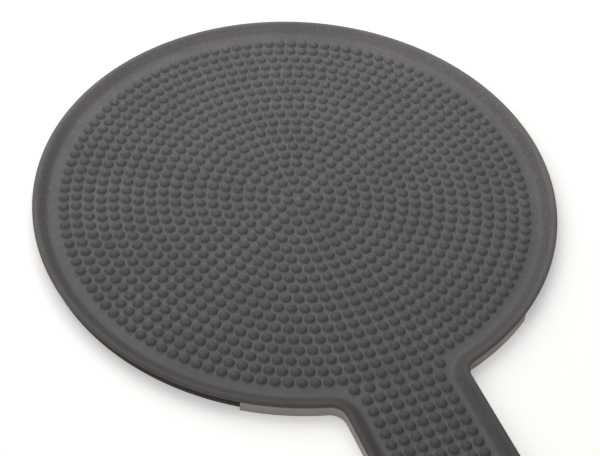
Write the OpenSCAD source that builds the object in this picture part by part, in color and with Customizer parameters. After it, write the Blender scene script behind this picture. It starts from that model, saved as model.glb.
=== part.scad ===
// Round practice pad with a flat handle: a moulded rubber face with nubs and a
// raised rim, a foam layer under the disc and a firm carrier under the handle.
// Sizes in mm. The pad lies flat on z = 0, disc centre on the Z axis, handle along -Y.

/* [Disc] */
// Outer diameter of the round pad
disc_diameter = 200; // [170:1:260]
// Width of the rim, from its foot on the floor to the outer edge
rim_width = 5.6; // [5:0.1:7]
// Height of the rim above the floor
rim_height = 2.9; // [2.2:0.1:4]
// Width of the flat top of the rim, its outer bevel included
crest_width = 1.8; // [1.2:0.1:2.5]
// Bevel on the outer top edge of the rim
edge_bevel = 0.5; // [0.2:0.1:0.8]

/* [Nubs] */
// Distance between neighbouring nubs and between rings
nub_pitch = 4.7; // [4.4:0.1:8]
// Diameter of a nub at the floor
nub_diameter = 4; // [3:0.1:4.2]
// Diameter of the small flat top of a nub
nub_top = 1.2; // [1:0.1:2]
// Height of a domed nub above the floor
nub_height = 1.3; // [0.8:0.1:1.5]
// Radius of the innermost ring of nubs
first_ring_radius = 3.75; // [3.6:0.05:6]
// Smallest bare band between the outer nubs and the foot of the rim on the disc
disc_band = 3.6; // [2:0.1:6]

/* [Handle] */
// Width of the handle
handle_width = 47.5; // [42:0.5:64]
// Distance from the disc centre to the end of the handle
handle_reach = 280; // [200:1:330]
// Radius of the inner corner between disc and handle
root_fillet = 6; // [4:0.5:12]
// Radius of the two corners at the handle end
end_corner = 12; // [9:0.5:20]
// Step by which the edge of the handle is finer than the edge of the disc
handle_step = 0.05; // [0.04:0.01:0.07]
// Smallest bare band between the outer nubs and the foot of the rim on the handle
handle_band = 1.8; // [1.5:0.1:4]
// Distance between the nubs of the first row in the mouth of the handle
mouth_pitch = 5.5; // [4.7:0.1:6]

/* [Layers] */
// Thickness of the rubber floor
floor_thickness = 1.3; // [1:0.1:1.9]
// Thickness of the rubber lip at the rim
lip_thickness = 1.5; // [1:0.1:2]
// Thickness of the foam under the disc
foam_thickness = 1.8; // [1.5:0.1:5]
// Thickness of the bonding film above foam and carrier
film_thickness = 0.2; // [0.15:0.05:0.4]
// Setback of the foam from the outer edge of the disc
foam_setback = 1.3; // [0.5:0.1:3]
// Setback of the carrier from the outer edge of the lip
carrier_setback = 0.2; // [0:0.1:0.6]
// Distance from the outer edge of the disc to the line where foam and carrier meet
split_depth = 17; // [10:0.5:30]
// Gap between the foam and the carrier
split_gap = 0.4; // [0.2:0.1:1]

/* [Hidden] */
disc_radius = disc_diameter / 2;
half_width = handle_width / 2;

// Levels above the table
film_z = foam_thickness;
skin_z = film_z + film_thickness;
floor_z = skin_z + floor_thickness;
crest_z = floor_z + rim_height;
lip_z = crest_z - lip_thickness;

// Rim profile, measured outward from the outer edge
slope_run = rim_width - crest_width;
slope = rim_height / slope_run;
slope_drop = floor_thickness * sqrt(1 + slope * slope);
inner_knee = -rim_width + (slope_drop - floor_thickness) / slope;
outer_knee = -rim_width + (lip_z - floor_z + slope_drop) / slope;
// Depth to which the slope of the rim runs on inside the floor
rim_root = 0.4;
foot_edge = -rim_width - rim_root / slope;
// The floor plate ends inside the foot of the rim, halfway to the knee
plate_edge = (inner_knee - rim_width) / 2;

// Inner corners between disc and handle
fillet_x = half_width + root_fillet;
fillet_y = -round(100 * sqrt(pow(disc_radius + root_fillet, 2) - fillet_x * fillet_x)) / 100;
fillet_angle = asin(fillet_x / (disc_radius + root_fillet));
fillet_steps = 8;
// Angle by which the edge of the handle runs on inside the edge of the disc
fillet_overlap = 2;
// Angle from there to the first corner of the handle floor
fillet_lead = 4;

// Handle end
corner_x = half_width - end_corner;
corner_y = end_corner - handle_reach;
side_length = fillet_y - corner_y;

// Line across the disc where foam and carrier meet
split_y = split_depth - disc_radius;

// Nub field
nub_radius = nub_diameter / 2;
// Height of the dome's centre over the floor, from the circles of its foot and of its top
dome_z = (nub_top * nub_top / 4 + nub_height * nub_height - nub_radius * nub_radius) / (2 * nub_height);
dome_radius = sqrt(nub_radius * nub_radius + dome_z * dome_z);
// Depth to which a nub reaches into the floor
nub_root = 0.3;
field_radius = disc_radius - rim_width - disc_band - nub_radius;
rings = floor((field_radius - first_ring_radius) / nub_pitch) + 1;
half_columns = floor((half_width - rim_width - handle_band - nub_radius) / nub_pitch);
mouth_radius = ring_radius(rings + 1);
rows = floor((handle_reach - rim_width - handle_band - nub_radius - mouth_radius) / nub_pitch);
// Rows that keep some of the curve of the rings
curved_rows = 3;

far = 2 * (disc_radius + handle_reach);
$fn = 180;

function ring_radius(k) = first_ring_radius + (k - 1) * nub_pitch;
function ring_count(k) = floor(2 * PI * ring_radius(k) / nub_pitch);
function row_x(i, j) = i * (j == 0 ? mouth_pitch : nub_pitch);
function row_curve(j) = max(0, 1 - j / curved_rows);
function row_y(i, j) = -mouth_radius - j * nub_pitch
  + row_curve(j) * pow(row_x(i, j), 2) / (2 * mouth_radius);

// Nubs in rings on the disc, each ring with a nub on the handle axis
function disc_places() = [
  for (k = [1:rings], j = [0:ring_count(k) - 1])
    let (a = -90 + 360 * j / ring_count(k))
    [ring_radius(k) * cos(a), ring_radius(k) * sin(a)]
];
// Nubs in columns on the handle, the first rows still curved like the rings
function handle_places() = [
  for (j = [0:rows], i = [-half_columns:half_columns])
    [row_x(i, j), row_y(i, j)]
];

// Outline of the handle floor, its right half from the disc to the end
function fillet_point(i) =
  let (first = fillet_angle + fillet_lead)
  let (a = 90 + first + (90 - first) * i / fillet_steps)
  let (r = root_fillet - plate_edge)
  [fillet_x + r * cos(a), fillet_y + r * sin(a)];
function mouth_point() =
  let (r = disc_radius + foot_edge - root_fillet / 2)
  [r * sin(fillet_angle), -r * cos(fillet_angle)];
function corner_point(i) =
  let (a = -90 * i / fillet_steps)
  let (r = end_corner + plate_edge)
  [corner_x + r * cos(a), corner_y + r * sin(a)];
function right_points() = concat(
  [mouth_point()],
  [for (i = [0:fillet_steps]) fillet_point(i)],
  [for (i = [0:fillet_steps]) corner_point(i)]
);
function left_points() =
  let (p = right_points())
  [for (i = [len(p) - 1:-1:0]) [-p[i][0], p[i][1]]];

// Sweeps an edge profile round the disc, apart from the mouth of the handle
module round_the_disc() {
  rotate([0, 0, fillet_angle - 90])
    rotate_extrude(angle = 360 - 2 * fillet_angle)
      translate([disc_radius, 0])
        children();
}

// Sweeps an edge profile down the right side of the handle to the middle of its end
module down_the_side() {
  translate([fillet_x, fillet_y, 0])
    mirror([1, 0, 0])
      rotate_extrude(angle = 90 - fillet_angle + fillet_overlap)
        translate([root_fillet, 0])
          mirror([1, 0])
            children();
  translate([half_width, fillet_y, 0])
    rotate([90, 0, 0])
      linear_extrude(side_length)
        children();
  translate([corner_x, corner_y, 0])
    rotate([0, 0, -90])
      rotate_extrude(angle = 90)
        translate([end_corner, 0])
          children();
  translate([corner_x, -handle_reach, 0])
    rotate([0, 0, -90])
      rotate([90, 0, 0])
        linear_extrude(corner_x)
          children();
}

// Sweeps two edge profiles round the outline: the first round the disc, the second down the handle
module round_the_edge() {
  round_the_disc()
    children(0);
  down_the_side()
    children(1);
  mirror([1, 0, 0])
    down_the_side()
      children(1);
}

// Flat plate inside the rim, disc and handle together
module plate(z, thickness) {
  translate([0, 0, z]) {
    cylinder(h = thickness, r = disc_radius + plate_edge);
    linear_extrude(thickness)
      polygon(concat(right_points(), left_points()));
  }
}

// The step takes a little off the profile all round
module rim_profile(step) {
  polygon([
    [foot_edge + step, skin_z],
    [inner_knee - step, skin_z],
    [outer_knee - step, lip_z + step],
    [-step, lip_z + step],
    [-step, crest_z - edge_bevel - step],
    [-edge_bevel - step, crest_z - step],
    [-crest_width, crest_z - step],
    [foot_edge + step, floor_z - rim_root]
  ]);
}

// Fills the space from the table up to the film under the rim
module carrier_profile(step) {
  polygon([
    [foot_edge, 0],
    [-carrier_setback - step, 0],
    [-carrier_setback - step, lip_z - film_thickness - step],
    [outer_knee + step, lip_z - film_thickness - step],
    [inner_knee + step, film_z],
    [foot_edge, film_z]
  ]);
}

// Follows the underside of the rim, thinner by the step on either side
module film_profile(step) {
  polygon([
    [foot_edge, film_z],
    [inner_knee - step, film_z],
    [outer_knee - step, lip_z - film_thickness + step],
    [-carrier_setback - step, lip_z - film_thickness + step],
    [-carrier_setback - step, lip_z - step],
    [outer_knee + step, lip_z - step],
    [inner_knee + step, skin_z],
    [foot_edge, skin_z]
  ]);
}

// Low dome with a small flat top, standing on a root inside the floor
module nub() {
  intersection() {
    translate([0, 0, dome_z])
      sphere(r = dome_radius, $fn = 24);
    translate([-nub_diameter, -nub_diameter, -nub_root])
      cube([2 * nub_diameter, 2 * nub_diameter, nub_root + nub_height]);
  }
}

module nubs() {
  for (place = concat(disc_places(), handle_places()))
    translate([place[0], place[1], floor_z])
      nub();
}

// Keeps what lies on the handle side of the split line
module handle_side() {
  intersection() {
    union() children();
    translate([-far / 2, split_y - far, -far / 2])
      cube(far);
  }
}

// Keeps what lies on the disc side of the split line
module disc_side() {
  intersection() {
    children();
    translate([-far / 2, split_y + split_gap, -far / 2])
      cube(far);
  }
}

// Floor and rim of the rubber, without its nubs
module dish() {
  plate(skin_z, floor_thickness);
  round_the_edge() {
    rim_profile(0);
    rim_profile(handle_step);
  }
}

module playing_surface() {
  color("#5f5e5f")
    union() {
      dish();
      nubs();
    }
}

module disc_foam() {
  color("#262423")
    disc_side()
      cylinder(h = foam_thickness, r = disc_radius - foam_setback);
}

module foam_film() {
  color("#3a3632")
    disc_side()
      translate([0, 0, film_z])
        cylinder(h = film_thickness, r = disc_radius + plate_edge);
}

module handle_carrier() {
  color("#7a7672")
    handle_side() {
      plate(0, film_z);
      round_the_edge() {
        carrier_profile(0);
        carrier_profile(handle_step);
      }
    }
}

module carrier_film() {
  color("#3a3632")
    handle_side() {
      plate(film_z, film_thickness);
      round_the_edge() {
        film_profile(0);
        film_profile(handle_step);
      }
    }
}

playing_surface();
disc_foam();
foam_film();
handle_carrier();
carrier_film();
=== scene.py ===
"""Round rubber practice pad on a white table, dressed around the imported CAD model."""

import math

import bpy
import numpy as np
from mathutils import Matrix, Vector
from mathutils.geometry import delaunay_2d_cdt


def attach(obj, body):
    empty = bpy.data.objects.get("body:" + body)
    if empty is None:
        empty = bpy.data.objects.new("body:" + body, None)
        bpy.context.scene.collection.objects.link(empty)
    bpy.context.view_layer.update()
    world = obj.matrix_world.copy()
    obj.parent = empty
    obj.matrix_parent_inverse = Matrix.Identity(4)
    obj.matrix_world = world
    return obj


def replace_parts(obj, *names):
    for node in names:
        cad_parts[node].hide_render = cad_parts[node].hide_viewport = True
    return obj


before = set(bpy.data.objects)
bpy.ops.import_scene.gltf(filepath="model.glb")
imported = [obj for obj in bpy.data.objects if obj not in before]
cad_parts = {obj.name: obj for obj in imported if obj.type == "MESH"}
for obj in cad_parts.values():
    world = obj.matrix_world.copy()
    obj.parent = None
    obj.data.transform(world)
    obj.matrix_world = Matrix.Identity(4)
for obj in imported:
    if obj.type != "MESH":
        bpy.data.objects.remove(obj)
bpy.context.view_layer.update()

MM = 0.001

# Sizes of the pad in mm, the same values as in the part's source
DISC_RADIUS = 100.0
RIM_WIDTH = 5.6
RIM_HEIGHT = 2.9
CREST_WIDTH = 1.8
NUB_PITCH = 4.7
NUB_HEIGHT = 1.3
FIRST_RING = 3.75
RINGS = 19
HALF_WIDTH = 23.75
REACH = 280.0
ROOT_FILLET = 6.0
END_CORNER = 12.0
MOUTH_PITCH = 5.5
HALF_COLUMNS = 3
ROWS = 37
CURVED_ROWS = 3
FLOOR_THICKNESS = 1.3
LIP_THICKNESS = 1.5
FOAM_THICKNESS = 1.8
FILM_THICKNESS = 0.2
FOAM_SETBACK = 1.3
SPLIT_Y = -83.0
SPLIT_GAP = 0.4

# Width of the strip of floor that is swept with the rim, which leaves room to round the rim's foot
FOOT_WIDTH = 1.4

SKIN_Z = FOAM_THICKNESS + FILM_THICKNESS
FLOOR_Z = SKIN_Z + FLOOR_THICKNESS
CREST_Z = FLOOR_Z + RIM_HEIGHT
LIP_Z = CREST_Z - LIP_THICKNESS
SLOPE = RIM_HEIGHT / (RIM_WIDTH - CREST_WIDTH)
SLOPE_DROP = FLOOR_THICKNESS * math.hypot(1, SLOPE)
INNER_KNEE = -RIM_WIDTH + (SLOPE_DROP - FLOOR_THICKNESS) / SLOPE
OUTER_KNEE = -RIM_WIDTH + (LIP_Z - FLOOR_Z + SLOPE_DROP) / SLOPE
FOOT_EDGE = -RIM_WIDTH - FOOT_WIDTH
FILLET_X = HALF_WIDTH + ROOT_FILLET
FILLET_Y = -math.sqrt((DISC_RADIUS + ROOT_FILLET) ** 2 - FILLET_X ** 2)
FILLET_ANGLE = math.asin(FILLET_X / (DISC_RADIUS + ROOT_FILLET))
CORNER_X = HALF_WIDTH - END_CORNER
CORNER_Y = END_CORNER - REACH

# Radii of the rim's section, from its foot to its underside
FOOT_ROUND = 4.0
KNEE_ROUND = 1.6
TOP_ROUND = 0.8
LIP_ROUND = 0.2
UNDERSIDE_ROUND = 0.3

# Half section of a nub: radius and height, from its foot to just below its top
NUB_SECTION = [
    (2.19, 0.0),
    (2.09, 0.06),
    (1.98, 0.22),
    (1.78, 0.5),
    (1.48, 0.81),
    (1.05, 1.08),
    (0.55, 1.24),
]

# Section of the foam's edge: distance from the cut and height, bulged between two bonded faces
FOAM_EDGE = [
    (-0.4, 0.0),
    (-0.18, 0.12),
    (-0.05, 0.45),
    (0, 0.5 * FOAM_THICKNESS),
    (-0.05, 1.35),
    (-0.15, 1.68),
    (-0.3, FOAM_THICKNESS),
]

# Steps of the meshes
NUB_SIDES = 20
DISC_STEPS = 300
FILLET_STEPS = 10
SIDE_STEPS = 40
CORNER_STEPS = 12
END_STEPS = 6
FOAM_STEPS = 260
CUT_STEPS = 60
SHARP_ANGLE = math.radians(40)

# Camera, from a fit to the rings of nubs in the photo, its eye in nub pitches from the floor's centre
TURN = math.radians(-25.7)
TILT = math.radians(47.87)
ROLL = math.radians(-3.94)
EYE = Vector((0.498, -86.349, 91.712)) * NUB_PITCH
LENS = 92.55

# Table and light, in m and W, with places in the photo's frame
TABLE_HALF = 3.0
TABLE_DROP = 0.00002
TABLE_GLOW = 0.27
WORLD_LIGHT = 0.38
KEY_PLACE = (-0.2, 0.42, 0.55)
KEY_SIZE = (0.9, 0.9)
KEY_WATTS = 4.3
FILL_PLACE = (-0.4, -0.9, 0.55)
FILL_SIZE = (0.8, 0.5)
FILL_WATTS = 2.5


def turned(v):
    """A vector of the photo's frame in the frame of the part."""
    return Matrix.Rotation(TURN, 3, "Z") @ Vector(v)


def arc(centre, radius, start, end, steps, sign=1):
    """Points and outward normals on an arc, its last point left to the next piece."""
    for i in range(steps):
        a = start + (end - start) * i / steps
        n = Vector((math.cos(a), math.sin(a)))
        yield centre + radius * n, sign * n


def line(start, end, normal, steps):
    """Points and normals on a straight stretch, its last point left to the next piece."""
    for i in range(steps):
        yield start.lerp(end, i / steps), normal


def pad_outline():
    """The outer edge, counter-clockwise from the right inner corner, with its outward normals."""
    quarter = math.pi / 2
    left, right = Vector((-1, 0)), Vector((1, 0))
    fillet = Vector((FILLET_X, FILLET_Y))
    fillet_left = Vector((-FILLET_X, FILLET_Y))
    corner = Vector((CORNER_X, CORNER_Y))
    corner_left = Vector((-CORNER_X, CORNER_Y))
    side_top = HALF_WIDTH * right + Vector((0, FILLET_Y))
    side_end = HALF_WIDTH * right + Vector((0, CORNER_Y))
    side_top_left = HALF_WIDTH * left + Vector((0, FILLET_Y))
    side_end_left = HALF_WIDTH * left + Vector((0, CORNER_Y))
    end_left, end_right = Vector((-CORNER_X, -REACH)), Vector((CORNER_X, -REACH))
    first, last = FILLET_ANGLE - quarter, 3 * quarter - FILLET_ANGLE
    path = list(arc(Vector((0, 0)), DISC_RADIUS, first, last, DISC_STEPS))
    path += arc(fillet_left, ROOT_FILLET, quarter - FILLET_ANGLE, 0, FILLET_STEPS, -1)
    path += line(side_top_left, side_end_left, left, SIDE_STEPS)
    path += arc(corner_left, END_CORNER, 2 * quarter, 3 * quarter, CORNER_STEPS)
    path += line(end_left, end_right, Vector((0, -1)), END_STEPS)
    path += arc(corner, END_CORNER, -quarter, 0, CORNER_STEPS)
    path += line(side_end, side_top, right, SIDE_STEPS)
    path += arc(fillet, ROOT_FILLET, 2 * quarter, quarter + FILLET_ANGLE, FILLET_STEPS, -1)
    return path


def rounded(corner, before, after, radius, steps):
    """Points of a fillet of that radius at a corner of a section."""
    c, b, a = (Vector(v) for v in (corner, before, after))
    to_b = (b - c).normalized()
    to_a = (a - c).normalized()
    half = to_b.angle(to_a) / 2
    reach = radius / math.tan(half)
    centre = c + (to_a + to_b).normalized() * (radius / math.sin(half))
    p, q = c + to_b * reach - centre, c + to_a * reach - centre
    return [centre + radius * p.slerp(q, i / steps) for i in range(steps + 1)]


def rim_section():
    """Closed section of the rim, from the floor over the crest to the underside."""
    foot, knee = (-RIM_WIDTH, FLOOR_Z), (-CREST_WIDTH, CREST_Z)
    top, lip = (0, CREST_Z), (0, LIP_Z)
    start, end = (FOOT_EDGE, FLOOR_Z), (FOOT_EDGE, SKIN_Z)
    outer, inner = (OUTER_KNEE, LIP_Z), (INNER_KNEE, SKIN_Z)
    section = [Vector(start)]
    section += rounded(foot, start, knee, FOOT_ROUND, 6)
    section += rounded(knee, foot, top, KNEE_ROUND, 5)
    section += rounded(top, knee, lip, TOP_ROUND, 4)
    section += rounded(lip, top, outer, LIP_ROUND, 2)
    section += rounded(outer, lip, inner, UNDERSIDE_ROUND, 2)
    section += rounded(inner, outer, end, UNDERSIDE_ROUND, 2)
    section.append(Vector(end))
    return section


def nub_centres():
    """Places of the nubs: rings on the disc, then rows on the handle."""
    for k in range(1, RINGS + 1):
        radius = FIRST_RING + (k - 1) * NUB_PITCH
        count = math.floor(2 * math.pi * radius / NUB_PITCH)
        for j in range(count):
            a = -math.pi / 2 + 2 * math.pi * j / count
            yield radius * math.cos(a), radius * math.sin(a)
    mouth = FIRST_RING + RINGS * NUB_PITCH
    for j in range(ROWS + 1):
        curve = max(0, 1 - j / CURVED_ROWS)
        for i in range(-HALF_COLUMNS, HALF_COLUMNS + 1):
            x = i * (NUB_PITCH if j else MOUTH_PITCH)
            yield x, -mouth - j * NUB_PITCH + curve * x * x / (2 * mouth)


def inside(points, loop):
    """True for each point that lies in the loop."""
    x, y = points[:, :1], points[:, 1:]
    a = np.array(loop)
    b = np.roll(a, -1, 0)
    over = (a[:, 1] > y) != (b[:, 1] > y)
    with np.errstate(divide="ignore", invalid="ignore"):
        cut = a[:, 0] + (y - a[:, 1]) / (b[:, 1] - a[:, 1]) * (b[:, 0] - a[:, 0])
    return (over & (x < cut)).sum(1) % 2 == 1


def filled(loop, holes=()):
    """Triangles between a loop and round holes in it, facing up, as indices into loop + holes."""
    flat = list(loop)
    owner = [-1] * len(flat)
    edges = [(i, (i + 1) % len(flat)) for i in range(len(flat))]
    for h, hole in enumerate(holes):
        first = len(flat)
        flat += hole
        owner += [h] * len(hole)
        edges += [(first + i, first + (i + 1) % len(hole)) for i in range(len(hole))]
    out = delaunay_2d_cdt([Vector(p) for p in flat], edges, [], 0, 1e-6)
    back = [o[0] for o in out[3]]
    tris = np.array([[back[i] for i in f] for f in out[2]])
    pts = np.array([tuple(p) for p in flat])
    own = np.array(owner)[tris]
    in_hole = (own[:, 0] >= 0) & (own[:, 0] == own[:, 1]) & (own[:, 0] == own[:, 2])
    tris = tris[~in_hole]
    tris = tris[inside(pts[tris].mean(1), loop)]
    ab = pts[tris[:, 1]] - pts[tris[:, 0]]
    ac = pts[tris[:, 2]] - pts[tris[:, 0]]
    down = ab[:, 0] * ac[:, 1] - ab[:, 1] * ac[:, 0] < 0
    tris[down] = tris[down][:, ::-1]
    return tris.tolist()


def make_object(name, verts, faces):
    """A smooth object from vertices in mm, with its edges over SHARP_ANGLE kept sharp."""
    mesh = bpy.data.meshes.new(name)
    mesh.from_pydata([Vector(v) * MM for v in verts], [], faces)
    mesh.validate()
    mesh.shade_smooth()
    mesh.set_sharp_from_angle(angle=SHARP_ANGLE)
    obj = bpy.data.objects.new(name, mesh)
    bpy.context.scene.collection.objects.link(obj)
    return obj


def face_mesh():
    """The rubber moulding as one closed mesh."""
    path = pad_outline()
    n = len(path)
    section = rim_section()
    verts, faces = [], []
    for s in section:
        verts += [(p.x + s.x * q.x, p.y + s.x * q.y, s.y) for p, q in path]
    for k in range(len(section) - 1):
        for i in range(n):
            a, b = k * n + i, k * n + (i + 1) % n
            faces.append((a, a + n, b + n, b))
    floor_loop = [(v[0], v[1]) for v in verts[:n]]
    base_loop = [(v[0], v[1]) for v in verts[-n:]]
    last = len(verts) - n
    turns = [2 * math.pi * i / NUB_SIDES for i in range(NUB_SIDES)]
    unit = [(math.cos(a), math.sin(a)) for a in turns]
    centres = list(nub_centres())
    foot = NUB_SECTION[0][0]
    holes = [[(x + foot * c, y + foot * s) for c, s in unit] for x, y in centres]
    first_nub = len(verts)
    index = list(range(n))
    for h in holes:
        index += range(len(verts), len(verts) + NUB_SIDES)
        verts += [(x, y, FLOOR_Z) for x, y in h]
    faces += [[index[i] for i in t] for t in filled(floor_loop, holes)]
    for m, (x, y) in enumerate(centres):
        ring = first_nub + m * NUB_SIDES
        for r, z in NUB_SECTION[1:]:
            new = len(verts)
            verts += [(x + r * c, y + r * s, FLOOR_Z + z) for c, s in unit]
            for i in range(NUB_SIDES):
                j = (i + 1) % NUB_SIDES
                faces.append((ring + i, ring + j, new + j, new + i))
            ring = new
        verts.append((x, y, FLOOR_Z + NUB_HEIGHT))
        for i in range(NUB_SIDES):
            faces.append((ring + i, ring + (i + 1) % NUB_SIDES, len(verts) - 1))
    faces += [[last + i for i in reversed(t)] for t in filled(base_loop)]
    return make_object("rubber_face", verts, faces)


def foam_mesh():
    """Die-cut foam under the disc as one closed mesh."""
    radius = DISC_RADIUS - FOAM_SETBACK
    cut_y = SPLIT_Y + SPLIT_GAP
    start = math.asin(cut_y / radius)
    path = list(arc(Vector((0, 0)), radius, start, math.pi - start, FOAM_STEPS))
    left = Vector((-radius * math.cos(start), cut_y))
    right = Vector((radius * math.cos(start), cut_y))
    path += line(left, right, Vector((0, -1)), CUT_STEPS)
    n = len(path)
    verts, faces = [], []
    for u, z in FOAM_EDGE:
        verts += [(p.x + u * q.x, p.y + u * q.y, z) for p, q in path]
    for k in range(len(FOAM_EDGE) - 1):
        for i in range(n):
            a, b = k * n + i, k * n + (i + 1) % n
            faces.append((a, b, b + n, a + n))
    bottom = [(v[0], v[1]) for v in verts[:n]]
    top = [(v[0], v[1]) for v in verts[-n:]]
    faces += [list(reversed(t)) for t in filled(bottom)]
    last = len(verts) - n
    faces += [[last + i for i in t] for t in filled(top)]
    return make_object("foam_layer", verts, faces)


def linear(code):
    """Linear colour of a hex sRGB code."""
    out = []
    for i in (0, 2, 4):
        c = int(code[i:i + 2], 16) / 255
        out.append(c / 12.92 if c <= 0.04045 else ((c + 0.055) / 1.055) ** 2.4)
    return (*out, 1)


class Nodes:
    """A material and short calls that add nodes to its tree."""

    def __init__(self, name):
        self.material = bpy.data.materials.new(name)
        self.material.use_nodes = True
        self.tree = self.material.node_tree
        self.shader = self.tree.nodes["Principled BSDF"]
        self.place = self.add("ShaderNodeTexCoord").outputs["Object"]

    def add(self, kind, **settings):
        node = self.tree.nodes.new(kind)
        for key, value in settings.items():
            setattr(node, key, value)
        return node

    def join(self, out, socket):
        self.tree.links.new(out, socket)

    def noise(self, scale, detail=3, rough=0.55):
        node = self.add("ShaderNodeTexNoise")
        node.inputs["Scale"].default_value = scale
        node.inputs["Detail"].default_value = detail
        node.inputs["Roughness"].default_value = rough
        self.join(self.place, node.inputs["Vector"])
        return node.outputs["Fac"]

    def cells(self, scale):
        node = self.add("ShaderNodeTexVoronoi")
        node.inputs["Scale"].default_value = scale
        self.join(self.place, node.inputs["Vector"])
        return node.outputs["Distance"]

    def remap(self, value, low, high, to_low=0.0, to_high=1.0):
        node = self.add("ShaderNodeMapRange")
        node.inputs["From Min"].default_value = low
        node.inputs["From Max"].default_value = high
        node.inputs["To Min"].default_value = to_low
        node.inputs["To Max"].default_value = to_high
        self.join(value, node.inputs["Value"])
        return node.outputs["Result"]

    def height(self):
        """Height over the part's base."""
        node = self.add("ShaderNodeSeparateXYZ")
        self.join(self.place, node.inputs[0])
        return node.outputs["Z"]

    def along(self, direction):
        """Distance from the part's origin along a direction."""
        node = self.add("ShaderNodeVectorMath", operation="DOT_PRODUCT")
        self.join(self.place, node.inputs[0])
        node.inputs[1].default_value = direction
        return node.outputs["Value"]

    def distance(self):
        """Distance from the part's origin."""
        node = self.add("ShaderNodeVectorMath", operation="LENGTH")
        self.join(self.place, node.inputs[0])
        return node.outputs["Value"]

    def math(self, kind, a, b):
        node = self.add("ShaderNodeMath", operation=kind)
        for socket, value in zip(node.inputs, (a, b)):
            if isinstance(value, (int, float)):
                socket.default_value = value
            else:
                self.join(value, socket)
        return node.outputs[0]

    def mix(self, factor, a, b):
        """Mix of two colours. Sockets 6, 7 and 2 are the colour ones of this node."""
        node = self.add("ShaderNodeMix", data_type="RGBA")
        self.join(factor, node.inputs["Factor"])
        for socket, value in ((node.inputs[6], a), (node.inputs[7], b)):
            if isinstance(value, tuple):
                socket.default_value = value
            else:
                self.join(value, socket)
        return node.outputs[2]

    def bump(self, value, strength, distance):
        node = self.add("ShaderNodeBump")
        node.inputs["Strength"].default_value = strength
        node.inputs["Distance"].default_value = distance
        self.join(value, node.inputs["Height"])
        return node.outputs["Normal"]

    def finish(self, colour, rough, normal):
        self.join(colour, self.shader.inputs["Base Color"])
        self.join(rough, self.shader.inputs["Roughness"])
        self.join(normal, self.shader.inputs["Normal"])
        return self.material


def rubber():
    """Matte moulded rubber: paler floor, darker nubs, painted shade on the rim's slope and painted
    light on its far part, a crest partly worn and partly a painted highlight, painted light toward
    the far side, mottling and dust flecks with painted glints.
    """
    m = Nodes("moulded_rubber")
    radius = DISC_RADIUS * MM
    rim_foot = (DISC_RADIUS - RIM_WIDTH) * MM
    level = m.height()
    depth = m.along(turned((0, 1, 0)))
    # Everything raised over the floor, the nubs first, gets a darker colour than the floor.
    raised = m.remap(level, (FLOOR_Z + 0.05) * MM, (FLOOR_Z + 0.5) * MM)
    colour = m.mix(raised, linear("605d5d"), linear("494646"))
    patches = m.remap(m.noise(330, 3, 0.6), 0.45, 0.7, 0.0, 0.45)
    colour = m.mix(patches, colour, linear("565353"))
    # Painted shade: the rim's slope above the nubs' height is darkened where less light falls on it.
    slope_shade = m.remap(level, (FLOOR_Z + NUB_HEIGHT) * MM, (FLOOR_Z + NUB_HEIGHT + 0.5) * MM)
    colour = m.mix(slope_shade, colour, linear("454241"))
    # Painted light: the far part of the rim is made lighter, where it faces the light.
    on_rim = m.remap(m.distance(), rim_foot - 1.5 * MM, rim_foot)
    far_rim_light = m.remap(m.along(turned((-0.2, 0.98, 0))), 0.2 * radius, 0.95 * radius)
    colour = m.mix(m.math("MULTIPLY", on_rim, far_rim_light), colour, linear("706d6c"))
    # The crest is lighter, partly as wear and partly as a painted highlight, more so toward the far
    # side.
    crest = m.remap(level, (CREST_Z - 1.2) * MM, (CREST_Z - 0.2) * MM)
    wear_and_highlight = m.math("MULTIPLY", crest, m.remap(depth, -0.9 * radius, 0.4 * radius, 0.1, 1.0))
    colour = m.mix(wear_and_highlight, colour, linear("6b6865"))
    # Painted light: the whole face grows lighter toward the far side.
    far_side_light = m.remap(depth, -radius, radius, 0.0, 0.5)
    colour = m.mix(far_side_light, colour, linear("7a7776"))
    clouds = m.remap(m.noise(38, 4), 0.35, 0.65, 0.0, 0.35)
    colour = m.mix(clouds, colour, linear("524f4f"))
    # Pale dust flecks, made denser toward the far side as painted glints.
    flecks = m.remap(m.noise(1000, 2, 0.7), 0.55, 0.7)
    dust_and_glints = m.math("MULTIPLY", flecks, m.remap(depth, -0.9 * radius, 0.7 * radius, 0.1, 0.6))
    colour = m.mix(dust_and_glints, colour, linear("8a8886"))
    m.shader.inputs["Specular IOR Level"].default_value = 0.35
    rough = m.remap(m.noise(120, 3), 0.3, 0.7, 0.62, 0.74)
    return m.finish(colour, rough, m.bump(m.noise(2600, 3, 0.6), 0.35, 0.0002))


def foam():
    """Black closed-cell foam with fine open cells on its cut edge."""
    m = Nodes("black_foam")
    cells = m.cells(2200)
    colour = m.mix(m.remap(cells, 0.1, 0.6), linear("363230"), linear("4a4643"))
    rough = m.remap(m.noise(300, 2), 0.3, 0.7, 0.85, 0.95)
    m.shader.inputs["Specular IOR Level"].default_value = 0.2
    return m.finish(colour, rough, m.bump(cells, 0.6, 0.0003))


def carrier():
    """Warm grey firm layer with a faint moulded grain and handling marks."""
    m = Nodes("grey_carrier")
    clouds = m.remap(m.noise(60, 4), 0.35, 0.65)
    colour = m.mix(clouds, linear("948e88"), linear("8a847f"))
    marks = m.remap(m.noise(420, 3, 0.7), 0.62, 0.7)
    colour = m.mix(m.math("MULTIPLY", marks, 0.3), colour, linear("6c6763"))
    rough = m.remap(m.noise(150, 3), 0.3, 0.7, 0.5, 0.62)
    m.shader.inputs["Specular IOR Level"].default_value = 0.4
    return m.finish(colour, rough, m.bump(m.noise(2200, 3), 0.25, 0.0002))


def film():
    """Dark bonding film, a little uneven in gloss."""
    m = Nodes("bond_film")
    colour = m.mix(m.remap(m.noise(250, 3), 0.35, 0.65), linear("2e2a27"), linear("3d3935"))
    rough = m.remap(m.noise(180, 3), 0.3, 0.7, 0.45, 0.6)
    return m.finish(colour, rough, m.bump(m.noise(1500, 2), 0.2, 0.0001))


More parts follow.
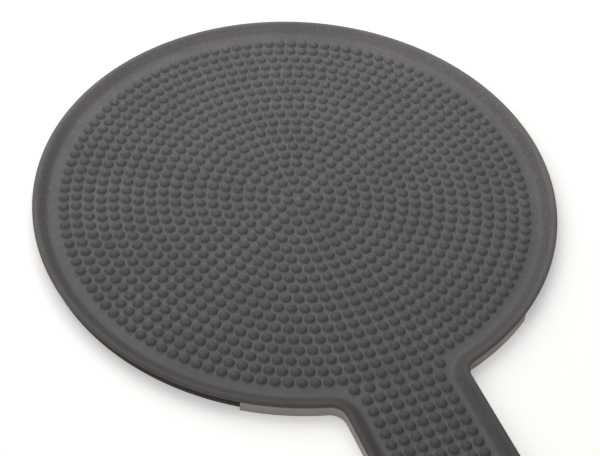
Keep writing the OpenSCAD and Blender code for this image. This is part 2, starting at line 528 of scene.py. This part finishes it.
def table():
    """White table that keeps the shadow of the pad and reads white elsewhere."""
    m = Nodes("white_table")
    colour = m.mix(m.remap(m.noise(3, 2), 0.3, 0.7), linear("f7f5f2"), linear("f4f2ef"))
    m.join(colour, m.shader.inputs["Base Color"])
    m.shader.inputs["Roughness"].default_value = 0.6
    m.shader.inputs["Emission Color"].default_value = (1, 1, 1, 1)
    ray = m.add("ShaderNodeLightPath").outputs
    seen = m.math("ADD", ray["Is Camera Ray"], ray["Is Glossy Ray"])
    seen = m.math("ADD", seen, ray["Is Transmission Ray"])
    m.join(m.math("MULTIPLY", seen, TABLE_GLOW), m.shader.inputs["Emission Strength"])
    return m.material


def area_light(name, place, size, watts):
    """A rectangular lamp that shines on the centre of the disc."""
    light = bpy.data.lights.new(name, "AREA")
    light.shape = "RECTANGLE"
    light.size, light.size_y = size
    light.energy = watts
    obj = bpy.data.objects.new(name, light)
    obj.location = place
    obj.rotation_euler = (-Vector(place)).to_track_quat("-Z", "Y").to_euler()
    bpy.context.scene.collection.objects.link(obj)


def dress(node, material):
    """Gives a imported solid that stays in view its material."""
    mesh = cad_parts[node].data
    mesh.materials.clear()
    mesh.materials.append(material)


# Camera
right = Vector((1, 0, 0))
ahead = Vector((0, math.cos(TILT), -math.sin(TILT)))
down = Vector((0, -math.sin(TILT), -math.cos(TILT)))
image_right = turned(math.cos(ROLL) * right + math.sin(ROLL) * down)
image_down = turned(math.cos(ROLL) * down - math.sin(ROLL) * right)
view_axis = turned(ahead)
camera_data = bpy.data.cameras.new("camera")
camera_data.sensor_fit = "HORIZONTAL"
camera_data.sensor_width = 36
camera_data.lens = LENS
camera_data.clip_start = 0.01
camera = bpy.data.objects.new("camera", camera_data)
basis = Matrix((image_right, -image_down, -view_axis)).transposed().to_4x4()
eye = turned(EYE) + Vector((0, 0, FLOOR_Z))
camera.matrix_world = Matrix.Translation(eye * MM) @ basis
bpy.context.scene.collection.objects.link(camera)
bpy.context.scene.camera = camera

# Pieces
face = face_mesh()
face.data.materials.append(rubber())
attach(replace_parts(face, "playing_surface"), "root")

layer = foam_mesh()
layer.data.materials.append(foam())
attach(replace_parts(layer, "disc_foam"), "root")

bond = film()
dress("handle_carrier", carrier())
dress("carrier_film", bond)
dress("foam_film", bond)

# Table, light and view
corners = [(-1, -1), (1, -1), (1, 1), (-1, 1)]
top = [(x * TABLE_HALF, y * TABLE_HALF, -TABLE_DROP) for x, y in corners]
mesh = bpy.data.meshes.new("table")
mesh.from_pydata(top, [], [(0, 1, 2, 3)])
ground = bpy.data.objects.new("table", mesh)
ground.data.materials.append(table())
bpy.context.scene.collection.objects.link(ground)

world = bpy.data.worlds.new("studio")
world.use_nodes = True
world.node_tree.nodes["Background"].inputs["Color"].default_value = (1, 1, 1, 1)
world.node_tree.nodes["Background"].inputs["Strength"].default_value = WORLD_LIGHT
bpy.context.scene.world = world
area_light("key", turned(KEY_PLACE), KEY_SIZE, KEY_WATTS)
area_light("fill", turned(FILL_PLACE), FILL_SIZE, FILL_WATTS)

bpy.context.scene.view_settings.view_transform = "Standard"
